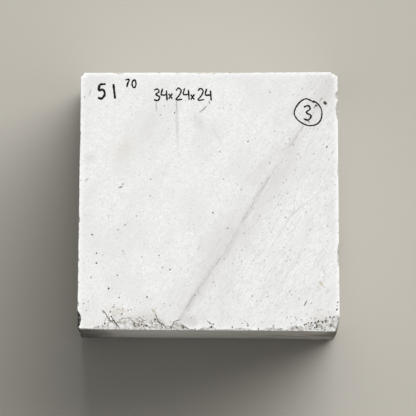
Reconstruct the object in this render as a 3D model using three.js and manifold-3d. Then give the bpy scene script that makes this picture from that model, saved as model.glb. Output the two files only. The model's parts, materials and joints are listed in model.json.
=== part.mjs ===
// A sawn block of white marble, stood on one end, as a stone yard keeps it for a carver.
// It is one solid stone: four long sawn sides, two square sawn ends, and edges that have lost
// flakes. The front edge of the upper end is the worst: a row of shallow spalls runs along it,
// and the long edges that come up to its two ends are knocked back from top to bottom.
// Millimetres. +Z is up, along the block. +X is right and -Y is the front. The origin is at the
// middle of the base, on the floor.
import * as THREE from "three";
import { mergeVertices } from "three/addons/utils/BufferGeometryUtils.js";
import Module from "manifold-3d";

const wasm = await Module();
wasm.setup();

// The block as sawn: 13.5 inches long, on a section of about 9.3 inches that is a little out of
// square, wider at the front than at the back.
const LENGTH = 343;
const SECTION = {
  frontLeft: [-119.6, -116.1],
  frontRight: [119.6, -118.1],
  backRight: [117.6, 118.1],
  backLeft: [-116.3, 117.5],
};
const SIDES = {
  front: ["frontLeft", "frontRight"],
  right: ["frontRight", "backRight"],
  back: ["backRight", "backLeft"],
  left: ["backLeft", "frontLeft"],
};

// The shape of a break. A flake leaves part of a ball whose centre lies outside the stone.
// OUTSET says how far out, as a share of the flake's reach, so a larger one is a flatter scar.
const OUTSET = 1.4;
const FACETS = 6; // splits of each edge of the ball's icosahedron, less one
const UNEVENNESS = 0.02; // how far the scar wanders from the ball, as a share of its radius
// The lumps on a ball of unit radius are the sum of these waves. Each is a sine along one axis
// times a cosine along another, in radians for each unit of length, and moves on by "shift" and
// "crossShift" radians from one flake to the next, so that no two scars are the same.
const LUMPS = [
  { axis: "x", waves: 6.1, shift: 1, crossAxis: "y", crossWaves: 5.3, crossShift: -2 },
  { axis: "z", waves: 11.7, shift: 3, crossAxis: "x", crossWaves: 9.1, crossShift: 1 },
];
const WELD = 1e-4; // vertices that lie closer together than this are made one

// Flakes off the edges of the upper end. "at" is the distance along the edge from its middle,
// and runs the way that SIDES names it: front to the right, right to the back, back to the left,
// left to the front. "over" is the reach over the end face and "down" the reach down the side.
const UPPER_EDGE_FLAKES = {
  front: [
    { at: -84, long: 38, over: 15, down: 2.2 },
    { at: -66, long: 36, over: 11, down: 2.3 },
    { at: -46, long: 26, over: 12, down: 1.8 },
    { at: -24, long: 30, over: 7, down: 1.4 },
    { at: 2, long: 18, over: 4.5, down: 1 },
    { at: 30, long: 18, over: 4, down: 0.9 },
    { at: 57, long: 20, over: 4, down: 0.9 },
    { at: 86, long: 34, over: 6.5, down: 1.6 },
    { at: 107, long: 42, over: 14, down: 2.6 },
  ],
  right: [
    { at: -50, long: 21, over: 1.8, down: 26 },
    { at: 30, long: 12, over: 0.9, down: 2 },
    { at: 82, long: 18, over: 1.5, down: 20 },
    { at: 97, long: 7, over: 1.5, down: 9 },
  ],
  back: [
    { at: -16, long: 96, over: 0.9, down: 3.2 },
    { at: 84, long: 14, over: 1.1, down: 2.4 },
  ],
  left: [
    { at: 108, long: 18, over: 3.5, down: 10 },
    { at: 17, long: 8, over: 1.3, down: 2.4 },
    { at: -58, long: 16, over: 0.8, down: 3 },
  ],
};

// Flakes off the edges of the base, written the same way. "down" here is the reach up the side.
const LOWER_EDGE_FLAKES = {
  front: [
    { at: -70, long: 34, over: 5, down: 7 },
    { at: 38, long: 22, over: 3, down: 4 },
    { at: 92, long: 16, over: 4, down: 3 },
  ],
  right: [
    { at: -38, long: 44, over: 6, down: 9 },
    { at: 66, long: 20, over: 3, down: 4.5 },
  ],
  back: [
    { at: -80, long: 26, over: 5, down: 6 },
    { at: 24, long: 38, over: 4, down: 8 },
    { at: 88, long: 14, over: 3, down: 3 },
  ],
  left: [
    { at: -52, long: 24, over: 4, down: 5 },
    { at: 46, long: 36, over: 5, down: 7.5 },
  ],
};

// Flakes off the long upright edges. "at" is the height above the base. "first" is the reach over
// the side that ends at this corner in SIDES, and "second" the reach over the side that starts.
const UPRIGHT_EDGE_FLAKES = {
  frontLeft: [
    { at: 240, long: 520, first: 3, second: 2.6 },
    { at: 286, long: 30, first: 4.2, second: 3.4 },
    { at: 171, long: 52, first: 3.4, second: 5 },
    { at: 62, long: 22, first: 2.4, second: 2 },
  ],
  frontRight: [
    { at: 232, long: 620, first: 4.3, second: 10.6 },
    { at: 243, long: 30, first: 5.4, second: 12.5 },
    { at: 118, long: 40, first: 5, second: 3 },
    { at: 48, long: 18, first: 2, second: 2 },
  ],
  backRight: [
    { at: 312, long: 260, first: 3.4, second: 6.8 },
    { at: 196, long: 24, first: 2, second: 2.6 },
    { at: 88, long: 46, first: 4.4, second: 3.4 },
  ],
  backLeft: [
    { at: 300, long: 200, first: 3.6, second: 3.2 },
    { at: 140, long: 20, first: 2.2, second: 2 },
    { at: 54, long: 30, first: 2.6, second: 4 },
  ],
};

// Broken corners, with the reach along the side that ends at the corner, along the side that
// starts there, and along the upright edge.
const UPPER_CORNERS = {
  frontLeft: { first: 4, second: 3.4, upright: 8 },
  frontRight: { first: 5, second: 13, upright: 12 },
  backRight: { first: 4, second: 7.4, upright: 7 },
  backLeft: { first: 3.8, second: 3.6, upright: 6 },
};
const LOWER_CORNERS = {
  frontLeft: { first: 8, second: 10, upright: 12 },
  frontRight: { first: 6, second: 7, upright: 9 },
  backRight: { first: 14, second: 9, upright: 16 },
  backLeft: { first: 6, second: 5, upright: 8 },
};

const UP = new THREE.Vector3(0, 0, 1);
const DOWN = new THREE.Vector3(0, 0, -1);

// A closed three.js geometry as a manifold-3d solid.
function solidFrom(geometry) {
  const bare = geometry.clone();
  bare.deleteAttribute("normal");
  bare.deleteAttribute("uv");
  const merged = mergeVertices(bare, WELD);
  return new wasm.Manifold(
    new wasm.Mesh({
      numProp: 3,
      vertProperties: Float32Array.from(merged.attributes.position.array),
      triVerts: Uint32Array.from(merged.index.array),
    }),
  );
}

// A manifold-3d solid as a three.js geometry.
function geometryFrom(solid) {
  const mesh = solid.getMesh();
  const geometry = new THREE.BufferGeometry();
  geometry.setAttribute(
    "position",
    new THREE.BufferAttribute(mesh.vertProperties, 3),
  );
  geometry.setIndex(new THREE.BufferAttribute(mesh.triVerts, 1));
  geometry.computeVertexNormals();
  return geometry;
}

function corner(name, z) {
  return new THREE.Vector3(...SECTION[name], z);
}

// The unit vector along a side, and the side's outward normal.
function directions(side) {
  const [from, to] = SIDES[side];
  const along = corner(to, 0).sub(corner(from, 0)).normalize();
  const out = new THREE.Vector3(along.y, -along.x, 0);
  return { along, out };
}

// An uneven ball of about unit radius. "turn" is the flake's number in the list of them all.
function unevenBall(turn) {
  const ball = new THREE.IcosahedronGeometry(1, FACETS);
  const place = ball.attributes.position;
  const p = new THREE.Vector3();
  for (let i = 0; i < place.count; i++) {
    p.fromBufferAttribute(place, i);
    let lump = 0;
    for (const wave of LUMPS) {
      const along = wave.waves * p[wave.axis] + wave.shift * turn;
      const cross = wave.crossWaves * p[wave.crossAxis] + wave.crossShift * turn;
      lump += Math.sin(along) * Math.cos(cross);
    }
    p.multiplyScalar(1 + UNEVENNESS * lump);
    place.setXYZ(i, p.x, p.y, p.z);
  }
  return ball;
}

// The piece of stone that a flake takes with it. "axes" are three unit vectors, "reaches" the
// flake's reach from "point" against each, and "outsets" how far out the ball's centre lies.
function flake(point, axes, reaches, outsets, radius, turn) {
  const scaled = axes.map((axis, i) => axis.clone().multiplyScalar(reaches[i]));
  const place = new THREE.Matrix4().makeBasis(...scaled).setPosition(point);
  // Left-handed axes turn the ball inside out, so it is mirrored beforehand.
  const hand = Math.sign(place.determinant());
  const ball = unevenBall(turn);
  ball.scale(hand * radius, radius, radius);
  ball.translate(...outsets);
  ball.applyMatrix4(place);
  return solidFrom(ball);
}

// A flake off a straight edge, where two faces with outward normals "outs" meet.
function edgeFlake(point, along, outs, long, reaches, turn) {
  const radius = Math.hypot(1 + OUTSET, OUTSET);
  const halfLength = long / 2 / Math.sqrt(1 + 2 * OUTSET);
  return flake(
    point,
    [along, ...outs],
    [halfLength, ...reaches],
    [0, OUTSET, OUTSET],
    radius,
    turn,
  );
}

// A broken corner, where three faces meet.
function cornerFlake(point, outs, reaches, turn) {
  const radius = Math.hypot(1 + OUTSET, OUTSET, OUTSET);
  return flake(point, outs, reaches, [OUTSET, OUTSET, OUTSET], radius, turn);
}

// The sides that end and start at a corner.
function sidesAt(name) {
  const names = Object.keys(SIDES);
  const ends = names.find((side) => SIDES[side][1] === name);
  const starts = names.find((side) => SIDES[side][0] === name);
  return { ends, starts };
}

// Every flake that the block has lost, in one list of solids.
function lostFlakes() {
  const lost = [];
  const ends = [
    [UPPER_EDGE_FLAKES, UPPER_CORNERS, LENGTH, UP],
    [LOWER_EDGE_FLAKES, LOWER_CORNERS, 0, DOWN],
  ];
  for (const [edges, corners, z, outOfEnd] of ends) {
    for (const [side, flakes] of Object.entries(edges)) {
      const { along, out } = directions(side);
      const middle = corner(SIDES[side][0], z).lerp(
        corner(SIDES[side][1], z),
        0.5,
      );
      for (const f of flakes) {
        const point = middle.clone().addScaledVector(along, f.at);
        // The reach over the end face is measured against the side's normal, and the reach over
        // the side against the end face's.
        lost.push(
          edgeFlake(
            point,
            along,
            [out, outOfEnd],
            f.long,
            [f.over, f.down],
            lost.length,
          ),
        );
      }
    }
    for (const [name, c] of Object.entries(corners)) {
      const { ends: endingSide, starts: startingSide } = sidesAt(name);
      // Going back along one side is going against the other side's normal.
      const outs = [
        directions(startingSide).out,
        directions(endingSide).out,
        outOfEnd,
      ];
      lost.push(
        cornerFlake(
          corner(name, z),
          outs,
          [c.first, c.second, c.upright],
          lost.length,
        ),
      );
    }
  }
  for (const [name, flakes] of Object.entries(UPRIGHT_EDGE_FLAKES)) {
    const { ends: endingSide, starts: startingSide } = sidesAt(name);
    const outs = [directions(startingSide).out, directions(endingSide).out];
    for (const f of flakes)
      lost.push(
        edgeFlake(
          corner(name, f.at),
          UP,
          outs,
          f.long,
          [f.first, f.second],
          lost.length,
        ),
      );
  }
  return lost;
}

// The block before it lost anything: its section, drawn up to its length.
function sawnBlock() {
  const outline = new THREE.Shape(
    Object.values(SECTION).map(([x, y]) => new THREE.Vector2(x, y)),
  );
  const prism = new THREE.ExtrudeGeometry(outline, {
    depth: LENGTH,
    bevelEnabled: false,
  });
  return solidFrom(prism);
}

function marbleBlock() {
  const stone = lostFlakes().reduce(
    (left, lost) => left.subtract(lost),
    sawnBlock(),
  );
  const marble = new THREE.MeshStandardMaterial({
    color: 0xe8e8e5,
    roughness: 0.6,
    metalness: 0,
  });
  const block = new THREE.Mesh(geometryFrom(stone), marble);
  block.name = "marble_block";
  return block;
}

const object = new THREE.Group();
object.add(marbleBlock());

export default object;
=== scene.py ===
# A sawn block of white marble that stands on one end, built around its CAD frame. Metres, +Z up,
# and the front is -Y. It is one stone with four sawn sides and two sawn ends. Its edges are worn
# and chipped, the front edge of the upper end is spalled, and the upper end has pen marks on it.
import json
import math
import random

import bpy
from mathutils import Matrix, Vector

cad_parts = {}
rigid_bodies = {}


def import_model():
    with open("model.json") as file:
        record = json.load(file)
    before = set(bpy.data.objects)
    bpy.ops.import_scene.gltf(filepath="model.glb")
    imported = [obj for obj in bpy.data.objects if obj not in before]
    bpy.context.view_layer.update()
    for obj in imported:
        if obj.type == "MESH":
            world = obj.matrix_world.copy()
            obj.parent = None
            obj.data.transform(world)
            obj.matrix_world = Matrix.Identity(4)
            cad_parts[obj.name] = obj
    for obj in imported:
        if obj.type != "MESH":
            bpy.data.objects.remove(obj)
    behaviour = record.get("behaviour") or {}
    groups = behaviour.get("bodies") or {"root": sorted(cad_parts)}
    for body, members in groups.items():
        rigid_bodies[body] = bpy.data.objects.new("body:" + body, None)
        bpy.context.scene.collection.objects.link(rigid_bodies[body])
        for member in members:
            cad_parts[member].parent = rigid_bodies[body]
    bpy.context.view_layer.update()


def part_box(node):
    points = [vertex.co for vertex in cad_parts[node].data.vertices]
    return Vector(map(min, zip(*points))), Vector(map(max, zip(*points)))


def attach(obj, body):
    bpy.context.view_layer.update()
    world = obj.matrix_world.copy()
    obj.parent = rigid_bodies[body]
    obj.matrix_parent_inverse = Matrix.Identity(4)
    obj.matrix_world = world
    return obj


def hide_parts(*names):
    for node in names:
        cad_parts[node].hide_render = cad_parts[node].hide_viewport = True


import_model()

MM = 0.001
LOW, HIGH = (Vector(point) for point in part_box("marble_block"))
TOP = HIGH.z
UP = Vector((0, 0, 1))
DOWN = Vector((0, 0, -1))

# ---------------------------------------------------------------------------------------------
# Sizes, in millimetres unless a line says otherwise.

# The section is a little out of square, so three of its corners stand in from the box.
CORNERS = {
    "front_left": (LOW.x, LOW.y + 2.0 * MM),
    "front_right": (HIGH.x, LOW.y),
    "back_right": (HIGH.x - 2.0 * MM, HIGH.y),
    "back_left": (LOW.x + 3.3 * MM, HIGH.y - 0.6 * MM),
}
SIDES = {
    "front": ("front_left", "front_right"),
    "right": ("front_right", "back_right"),
    "back": ("back_right", "back_left"),
    "left": ("back_left", "front_left"),
}

# The wear on every edge, a ragged flat where the arris has crumbled: how deep it is, how long its
# steps are, and how thick the bar is that cuts it.
WEAR = 0.32
WEAR_STEP = 1.3
WEAR_BAR = 3.4
# A bar along an edge that is knocked back is thicker, by this many times its own reach.
BAR_THICK = 1.5
# How many cuts there are across a bar of each kind.
WEAR_CUTS = 3
KNOCKED_CUTS = 11

# The spalled front edge of the upper end, as (x, reach over the end, reach down the side), with
# straight runs between.
SPALL = [
    (-122, 0.8, 0.5), (-104, 0.8, 0.5), (-97.5, 4, 0.7), (-91.5, 9, 1.0), (-86, 13, 1.3), (-80, 13, 1.5),
    (-74, 10, 1.5), (-67, 10, 1.5), (-59.5, 8, 1.3), (-52.5, 8, 1.2), (-46, 12, 1.3), (-40, 6, 1.0),
    (-35, 3, 0.8), (-30, 6, 0.9), (-25, 6, 1.0), (-17.5, 2.5, 0.8), (-12, 0.8, 0.5), (-4, 1.6, 0.6),
    (3, 4, 0.9), (9, 1, 0.5), (19.5, 0.9, 0.5), (23.5, 2.2, 0.7), (30, 2.4, 0.7), (36, 2, 0.7),
    (41, 0.8, 0.5), (49, 1.4, 0.6), (55.5, 3, 0.8), (62.5, 1.5, 0.6), (70, 1.4, 0.6), (76, 3.5, 0.9),
    (84, 5, 1.2), (93.5, 8, 1.5), (103.5, 10, 1.8), (110, 13, 2.1), (122, 17, 2.6),
]
# The sheet that cuts it: its size from front to back, how far it stands out in front, how much
# longer than the block it is, its finest step, and how thick it is.
SPALL_DEEP = 27
SPALL_OUT = 1
SPALL_PAST = 4
SPALL_STEP = 0.55
SPALL_THICK = 9

# Flakes off the other edges of the upper end, as (at, long, over, down). "at" is the distance
# along the edge from its middle, "over" the reach over the end and "down" the reach down the side.
UPPER_FLAKES = {
    "right": [(-50, 21, 1.8, 26), (30, 12, 0.9, 2), (82, 18, 1.5, 20), (97, 7, 1.5, 9)],
    "back": [(-16, 96, 0.9, 3.2), (84, 14, 1.1, 2.4)],
    "left": [(17, 8, 1.3, 2.4), (-58, 16, 0.8, 3)],
}
LOWER_FLAKES = {
    "front": [(-70, 34, 5, 7), (38, 22, 3, 4), (92, 16, 4, 3)],
    "right": [(-38, 44, 6, 9), (66, 20, 3, 4.5)],
    "back": [(-80, 26, 5, 6), (24, 38, 4, 8), (88, 14, 3, 3)],
    "left": [(-52, 24, 4, 5), (46, 36, 5, 7.5)],
}
# Flakes off the upright edges, as (height, long, reach over the side that ends here, reach over
# the side that starts here).
UPRIGHT_FLAKES = {
    "front_left": [(286, 30, 4.2, 3.4), (171, 52, 3.4, 5), (62, 22, 2.4, 2)],
    "front_right": [(243, 30, 5.4, 12.5), (118, 40, 5, 3), (48, 18, 2, 2)],
    "back_right": [(196, 24, 2, 2.6), (88, 46, 4.4, 3.4)],
    "back_left": [(140, 20, 2.2, 2), (54, 30, 2.6, 4)],
}
# Upright edges that are knocked back along a long stretch, as (from height, to height, the two
# reaches at the top, and what share of them is left at the foot).
KNOCKED_EDGES = {
    "front_left": (-5, 350, 2.9, 2.5, 0.5),
    "front_right": (-5, 350, 4.2, 10.2, 0.5),
    "back_right": (170, 350, 3.6, 7.0, 0.1),
    "back_left": (190, 350, 3.4, 3.1, 0.1),
}
# Broken corners: the reach along the side that ends here, along the one that starts here, and
# along the upright edge.
UPPER_CORNERS = {
    "front_left": (4, 3.4, 8),
    "front_right": (5, 13, 12),
    "back_right": (4, 7.4, 7),
    "back_left": (3.8, 3.6, 6),
}
LOWER_CORNERS = {
    "front_left": (8, 10, 12),
    "front_right": (6, 7, 9),
    "back_right": (14, 9, 16),
    "back_left": (6, 5, 8),
}
# The flake off the upper end's left edge whose scar is painted near black as shade, written
# as the upper end's flakes are.
DARK_FLAKE = (108, 18, 3.3, 10)
# A flake leaves part of a ball whose centre lies outside the stone, by this many times its reach.
OUTSET = 1.4
# How often such a ball is subdivided, and how long a flake has to be to count as long.
FLAKE_DETAIL = 5
LONG_FLAKE_DETAIL = 6
LONG_FLAKE = 24

# Small chips along every edge: one to each so many millimetres, the shortest, the longest off the
# upper end and elsewhere, their reaches as a share of their length, and how far from the middle
# they lie on an end's edge and on an upright one.
CHIP_EVERY = 14
CHIP_SHORTEST = 2.5
CHIP_LONGEST_ABOVE = 5.5
CHIP_LONGEST = 10
CHIP_REACH = (0.12, 0.24)
CHIP_DETAIL = 3
END_HALF = 112
UPRIGHT_HALF = 160

# How each kind of break is roughened, in passes of (size of lump, height, octaves), with the kind of
# noise where it isn't the plain one.
WEAR_ROUGH = [(4, 1.1, 3)]
KNOCKED_ROUGH = [(30, 2.6, 3), (7, 1.8, 2), (2.2, 0.9, 2)]
FLAKE_ROUGH = [(14, 2.4, 2), (5, 1.6, 2), (1.9, 0.9, 2)]
SPALL_ROUGH = [(9, 1.5, 3), (3.4, 1.1, 2, "VORONOI_F1"), (1.6, 0.8, 2)]
CHIP_ROUGH = [(1.5, 0.5, 2)]
DARK_FLAKE_ROUGH = [(5, 1.4, 3), (1.6, 0.8, 2)]

# Cracks that run in from the spalled edge, as (half width, its line), where the line's points are
# (x, distance in from the front edge).
CRACKS = [
    (0.62, [(-96, 18), (-93.6, 14.9), (-91.2, 10.6), (-89.4, 8.6), (-87.5, 8.2), (-84.6, 9.4)]),
    (0.60, [(-88.6, 12.5), (-86.8, 9.4), (-84.6, 6.2), (-82.4, 3.4), (-80.5, 1.4)]),
    (0.36, [(-91.5, 13.4), (-90.2, 10.8), (-90.8, 8.6)]),
    (0.40, [(-73, 11.6), (-70.6, 10), (-68.8, 7.6), (-64.6, 5.4), (-61.5, 4)]),
    (0.30, [(-78.5, 11.4), (-75.6, 10.8), (-73, 11.6)]),
    (0.34, [(-68.8, 7.6), (-68.4, 4.8), (-65.6, 2.2)]),
    (0.36, [(-64.5, 11.8), (-61.6, 11.2), (-59.4, 9.2), (-57, 8.8)]),
    (0.34, [(-60.5, 4.8), (-55.6, 4.2), (-52.6, 1.6)]),
    (0.62, [(-48.5, 13.7), (-47, 11.2), (-45.8, 7.8), (-43.4, 5.8), (-41, 4.8), (-38, 1.2)]),
    (0.36, [(-45, 5.8), (-42.6, 3.4), (-41.4, 1.2)]),
    (0.46, [(-36.6, 0.6), (-33.6, 4.1), (-31.6, 7.4), (-28.6, 8.8), (-25.5, 10)]),
    (0.40, [(-33.8, 3.8), (-31.6, 2.8), (-30.8, 0.8)]),
    (0.46, [(-24.7, 4.6), (-21.2, 2.9), (-18, 0.8)]),
    (0.40, [(-1.4, 8.6), (1, 6.2), (4.6, 5.4)]),
    (0.32, [(34.7, 7.2), (36.4, 5), (36, 3.6)]),
    (0.34, [(57.4, 4.8), (59.4, 3.4), (60.2, 1.6)]),
    (0.30, [(64.5, 2.2), (68.8, 0.8)]),
    (0.36, [(108, 4.4), (111, 3.8), (115, 2.6)]),
]
# Between two of those points there are this many steps. Each strays to a side by up to this much,
# and is between these shares of the crack's width.
CRACK_STEPS = 5
CRACK_STRAY = 0.25
CRACK_WIDTHS = (0.55, 1.1)

# Bigger pits in the upper end, as (x, y, radius).
PITS = [
    (-106, -30, 0.85), (-102, -47, 0.8), (-102, -56, 0.85), (-91, -79, 0.95), (-56, -87, 0.85),
    (-76, -21, 0.6), (-91, -13, 0.55), (-78, -45, 0.55), (-35, -62, 0.7), (-42, -60, 0.6),
    (-45, -49, 0.6), (-83, -67, 0.6), (-107, -69, 0.55), (-79, 14, 0.5), (36, 55, 0.65),
    (40, -86, 0.65), (108, 50, 0.7), (4, -10, 0.7), (-31, 81, 0.6), (64, -3, 0.5),
]
# Pits along the spalled edge, as (x, distance in from the front edge, radius).
EDGE_PITS = [
    (-111.4, 17, 0.5), (-109.7, 25, 0.45), (-100.1, 2.6, 0.65), (-94.4, 5.3, 1.0), (-93.5, 8.5, 0.55),
    (-89.4, 15.9, 0.7), (-88.5, 11.8, 0.9), (-86.6, 20.5, 0.65), (-78.9, 14.1, 0.7), (-78.1, 18.8, 0.55),
    (-73.2, 17.2, 0.65), (-70.6, 18.1, 0.55), (-67.8, 5, 0.7), (-67.2, 3.2, 0.6), (-62.3, 24.8, 0.4),
    (-61.1, 4.6, 0.8), (-56.5, 3.4, 0.9), (-48.6, 9.3, 1.05), (-40.2, 23.9, 0.45), (-35, 22.2, 0.5),
    (-33.6, 1.9, 0.8), (-23, 1.8, 0.75), (-12.2, 1, 0.6), (2.6, 2.8, 1.0), (4.7, 5.4, 0.5),
    (21.7, 2.7, 0.7), (30.6, 6.4, 0.5), (35.6, 4.4, 0.6), (45.6, 1.5, 0.75), (48.7, 7.6, 0.4),
    (71.7, 12.6, 0.5), (75, 13, 0.4), (76.6, 2.6, 0.65), (80, 10, 0.6), (80.4, 3, 0.55),
    (87.5, 5.6, 0.9), (89.2, 6.2, 0.75), (90.9, 7.4, 0.6), (92.5, 2, 0.7), (93.8, 7.3, 0.9),
    (95.4, 4.7, 0.6), (96.7, 3, 0.7), (97.1, 7.4, 0.75), (97.1, 11.5, 0.5), (98.5, 3.6, 1.0),
    (98.9, 5.2, 0.8), (100, 8.7, 1.05), (103.3, 2.1, 0.6), (104.1, 8.1, 0.95), (105.9, 1.3, 0.7),
    (106.8, 9.1, 0.8), (107.3, 11.9, 0.7), (110.8, 12.7, 0.9), (111.6, 5.7, 0.8), (112.9, 11.6, 0.6),
    (114.2, 12.9, 0.8), (117, 19.8, 0.9), (117.8, 26.4, 0.7), (117.4, 23, 0.55), (101.6, 5.6, 0.55),
]

# More of them by chance: how many, along which stretches of the edge, how far in, and their radii.
MORE_EDGE_PITS = 26
PITTED_STRETCHES = ((-100, -30), (78, 118))
PITTED_IN = (1, 12)
PITTED_RADII = (0.3, 0.5)
# Pits scattered over each side: how many, how far from its middle across and up, and their radii.
SIDE_PITS = 16
SIDE_PITS_ACROSS = 112
SIDE_PITS_UP = 165
SIDE_PIT_RADII = (0.4, 0.95)
# A pit is a ball, set out by this share of its radius. It is longest this many degrees from X,
# which is about along the veins.
PIT_OUT = 0.1
PIT_DETAIL = 2
PIT_TURN = 57

# Plain numbers in marker pen. Each figure's strokes are points in a cell one high.
FIGURES = {
    "0": [[(0.30, 1.00), (0.04, 0.66), (0.10, 0.12), (0.34, 0.00), (0.52, 0.40), (0.44, 0.86),
           (0.28, 1.00)]],
    "1": [[(0.20, 1.00), (0.26, 0.50), (0.32, 0.00)]],
    "2": [[(0.04, 0.80), (0.22, 1.00), (0.46, 0.82), (0.34, 0.44), (0.04, 0.03), (0.56, 0.06)]],
    "3": [[(0.04, 0.90), (0.32, 1.00), (0.46, 0.78), (0.20, 0.54), (0.52, 0.32), (0.34, 0.03),
           (0.02, 0.12)]],
    "4": [[(0.14, 1.00), (0.04, 0.48), (0.50, 0.50)], [(0.46, 0.86), (0.52, 0.00)]],
    "5": [[(0.14, 0.96), (0.08, 0.56), (0.36, 0.60), (0.48, 0.28), (0.26, 0.00), (0.02, 0.08)],
          [(0.14, 0.96), (0.54, 0.98)]],
    "7": [[(0.04, 0.94), (0.52, 0.98), (0.34, 0.50), (0.22, 0.00)]],
    "x": [[(0.02, 0.52), (0.34, 0.10)], [(0.34, 0.54), (0.04, 0.08)]],
}
# As (figures, x, y, height, pace from one figure to the next as a share of that, pen width).
WRITING = [
    ("51", -101, 94.5, 13.5, 0.86, 2.3),
    ("70", -76, 104.5, 7.2, 0.86, 1.7),
    ("34x24x24", -50, 92.5, 10.8, 0.62, 1.6),
    ("3", 86.5, 74.6, 13.5, 0.60, 1.7),
]
# The ring round the last one, in one careless turn of the pen, and the pen width.
RING = [
    (95.6, 92.2), (99.8, 89.2), (102.9, 84.4), (103.4, 79.6), (102.3, 74.6), (98.8, 70.8), (93.1, 69.4),
    (88.2, 70.4), (82.8, 73.5), (79.3, 77.5), (78.2, 81.4), (80.0, 86.5), (84.0, 91.5), (88.8, 93.9),
    (93.2, 92.4), (96.6, 90.2),
]
RING_PEN = 1.45
# How many steps there are between two points of a figure's stroke and of the ring.
PEN_STEPS = 6
RING_STEPS = 5
# How far a figure sits off its line, as a share of its height, and between which shares of its
# width a stroke varies. It is thinner where the pen comes down and where it lifts.
PEN_RISE = 0.05
PEN_WIDTHS = (0.72, 1.12)
PEN_DOWN = 0.8
PEN_LIFT = 0.7
# How flat the pen's round stroke is pressed.
INK_SQUASH = 0.08

# ---------------------------------------------------------------------------------------------
# Modelling.


def only(*pieces):
    """Selects these pieces alone, with the first one active."""
    bpy.ops.object.select_all(action="DESELECT")
    for piece in pieces:
        piece.select_set(True)
    bpy.context.view_layer.objects.active = pieces[0]


def in_place(piece):
    """Moves the object's place, turn and size into its mesh."""
    only(piece)
    bpy.ops.object.transform_apply(location=True, rotation=True, scale=True)


def joined(pieces):
    """Makes one object of several, at the origin."""
    only(*pieces)
    if len(pieces) > 1:
        bpy.ops.object.join()
    piece = bpy.context.object
    in_place(piece)
    return piece


def roughen(piece, passes):
    """Pushes the surface in and out in lumps, once for each pass."""
    for size, height, octaves, *kind in passes:
        lumps = bpy.data.textures.new("lumps", "CLOUDS")
        lumps.noise_scale = size * MM
        lumps.noise_depth = octaves
        if kind:
            lumps.noise_basis = kind[0]
        push = piece.modifiers.new("roughen", "DISPLACE")
        push.texture = lumps
        push.texture_coords = "GLOBAL"
        push.strength = height * MM
        only(piece)
        bpy.ops.object.modifier_apply(modifier=push.name)


def carve(stone, cutters, finish):
    """Takes the cutters out of the stone, and leaves this finish where they cut."""
    for cutter in cutters:
        cutter.data.materials.clear()
        cutter.data.materials.append(finish)
    pile = bpy.data.collections.new("cutters")
    bpy.context.scene.collection.children.link(pile)
    for cutter in cutters:
        for home in cutter.users_collection:
            home.objects.unlink(cutter)
        pile.objects.link(cutter)
    cut = stone.modifiers.new("carve", "BOOLEAN")
    cut.operation = "DIFFERENCE"
    cut.operand_type = "COLLECTION"
    cut.solver = "MANIFOLD"
    cut.material_mode = "TRANSFER"
    cut.collection = pile
    only(stone)
    bpy.ops.object.modifier_apply(modifier=cut.name)
    for cutter in list(pile.objects):
        bpy.data.objects.remove(cutter)
    bpy.data.collections.remove(pile)


def apart(piece):
    """Splits a joined piece into its loose parts."""
    only(piece)
    bpy.ops.mesh.separate(type="LOOSE")
    return list(bpy.context.selected_objects)


def corner(name, z):
    """A corner of the section, at this height."""
    return Vector((*CORNERS[name], z))


def directions(side):
    """The unit vector along a side, and its outward normal."""
    start, end = SIDES[side]
    along = (corner(end, 0) - corner(start, 0)).normalized()
    return along, Vector((along.y, -along.x, 0))


def sides_at(name):
    """The side that ends at a corner and the side that starts there."""
    ends = next(side for side in SIDES if SIDES[side][1] == name)
    starts = next(side for side in SIDES if SIDES[side][0] == name)
    return ends, starts


def ball(centre, axes, half_sizes, detail):
    """A ball stretched to these half sizes along these axes."""
    turn = Matrix(axes).transposed()
    if turn.determinant() < 0:
        turn.col[0].negate()
    bpy.ops.mesh.primitive_ico_sphere_add(
        subdivisions=detail, radius=1, location=centre, rotation=turn.to_euler(), scale=half_sizes
    )
    return bpy.context.object


def flake_centre(point, outs, reaches):
    """The middle of a flake's ball, out in the air beside the stone."""
    return point + sum((out * OUTSET * reach * MM for out, reach in zip(outs, reaches)), Vector())


def edge_flake(point, along, outs, long, reaches, detail):
    """The stone that a flake takes off an edge where two faces with normals "outs" meet."""
    radius = math.hypot(1 + OUTSET, OUTSET)
    half_long = long / 2 / math.sqrt(1 + 2 * OUTSET)
    sizes = [radius * reach * MM for reach in (half_long, *reaches)]
    return ball(flake_centre(point, outs, reaches), (along, *outs), sizes, detail)


def corner_flake(point, outs, reaches):
    """The stone that a broken corner has lost."""
    radius = math.hypot(1 + OUTSET, OUTSET, OUTSET)
    sizes = [radius * reach * MM for reach in reaches]
    return ball(flake_centre(point, outs, reaches), outs, sizes, FLAKE_DETAIL)


def end_edge(side, z):
    """The middle of an edge of one end, its direction and its side's outward normal."""
    along, out = directions(side)
    middle = (corner(SIDES[side][0], z) + corner(SIDES[side][1], z)) / 2
    return middle, along, out


def corner_outs(name):
    """The two directions out of a corner, against the sides that start and end there."""
    ends, starts = sides_at(name)
    return directions(starts)[1], directions(ends)[1]


def flake_detail(long):
    """How often the ball of a flake this long is subdivided."""
    return LONG_FLAKE_DETAIL if long > LONG_FLAKE else FLAKE_DETAIL


def end_flakes(flakes, corners, z, out_of_end):
    """The flakes off one end's four edges, and its broken corners."""
    lost = []
    for side, ones in flakes.items():
        middle, along, out = end_edge(side, z)
        for at, long, over, down in ones:
            point = middle + along * at * MM
            outs = (out, out_of_end)
            lost.append(edge_flake(point, along, outs, long, (over, down), flake_detail(long)))
    for name, reaches in corners.items():
        lost.append(corner_flake(corner(name, z), (*corner_outs(name), out_of_end), reaches))
    return lost


def upright_flakes():
    """The flakes off the upright edges."""
    lost = []
    for name, flakes in UPRIGHT_FLAKES.items():
        for height, long, first, second in flakes:
            point = corner(name, height * MM)
            reaches = (first, second)
            lost.append(edge_flake(point, UP, corner_outs(name), long, reaches, flake_detail(long)))
    return lost


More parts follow.
